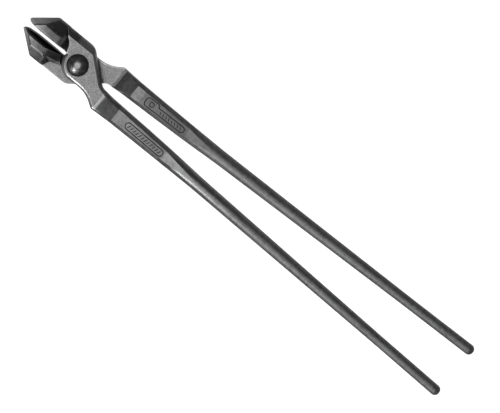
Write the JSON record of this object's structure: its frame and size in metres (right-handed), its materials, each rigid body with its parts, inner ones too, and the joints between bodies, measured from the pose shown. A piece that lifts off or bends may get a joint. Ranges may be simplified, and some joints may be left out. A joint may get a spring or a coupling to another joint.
{
  "type": "forging tongs",
  "caption": "Long-reined forging tongs with short pointed jaws, lapped bosses on a domed rivet, and reins that taper from flat to round.",
  "frame": {"origin": "on the rivet's axis, at the small flat on the crown of the lower rivet head", "axes": "+X along the tongs towards the jaw tips; +Z along the rivet from the lower head to the upper head; +Y is the side where the upper half's rein lies"},
  "size_m": [0.4999, 0.0582, 0.0314],
  "materials": {
    "forged_steel": "drop-forged steel, shot-blasted to an even satin grey",
    "rivet_steel": "dark oiled rivet head, smoother than the forgings"
  },
  "bodies": {
    "lower_half": {"lower_half": "forged_steel", "rivet": "rivet_steel"},
    "upper_half": {"upper_half": "forged_steel"}
  },
  "joints": [
    {"name": "rivet_pivot", "type": "hinge", "parent": "lower_half", "child": "upper_half", "pos_m": [0, 0, 0.01565], "axis": [0, 0, 1], "range_deg": [-68, 4.8]}
  ]
}
